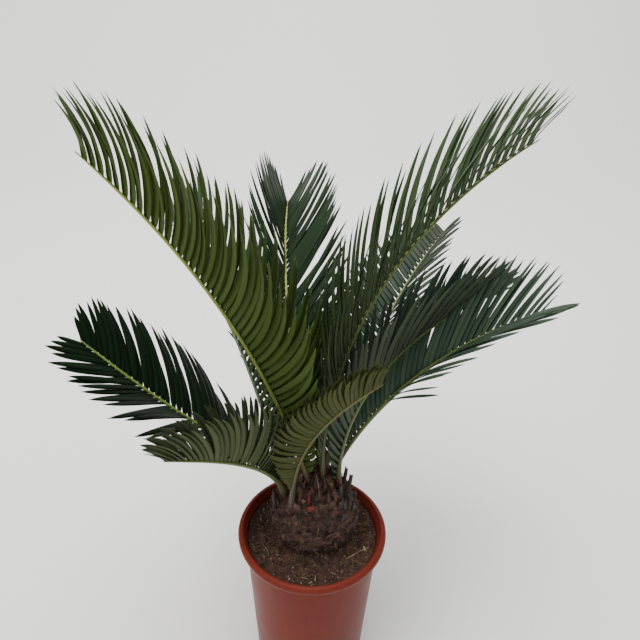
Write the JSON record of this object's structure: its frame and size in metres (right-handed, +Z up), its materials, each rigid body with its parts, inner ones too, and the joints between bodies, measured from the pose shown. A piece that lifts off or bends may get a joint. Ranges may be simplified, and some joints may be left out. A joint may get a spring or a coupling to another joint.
{
  "type": "sago palm",
  "caption": "Young sago palm with a squat ball-shaped trunk and arching feather-shaped fronds, in a tall round tapered plastic pot with a rolled lip.",
  "frame": {"origin": "middle of the pot's flat underside, where the plant stands", "axes": "+Z up along the pot's axis; +X towards the side where the tall right frond and the right fronds lean; +Y towards the back of the crown, away from the side that the picture shows"},
  "size_m": [0.5079, 0.5021, 0.7498],
  "materials": {
    "pot": "satin moulded terracotta-coloured plastic",
    "soil": "dark brown crumbly potting mix",
    "trunk": "rough fibrous brown leaf bases",
    "fronds": "leathery dark green with a soft waxy sheen"
  },
  "bodies": {
    "root": {"pot": "pot", "soil": "soil", "trunk": "trunk", "frond_tall_left": "fronds", "frond_tall_right": "fronds", "frond_back": "fronds", "frond_back_left": "fronds", "frond_back_right": "fronds", "frond_right": "fronds", "frond_right_rear": "fronds", "frond_front": "fronds", "frond_left": "fronds", "frond_low_left": "fronds", "frond_rear_short": "fronds"}
  },
  "joints": []
}
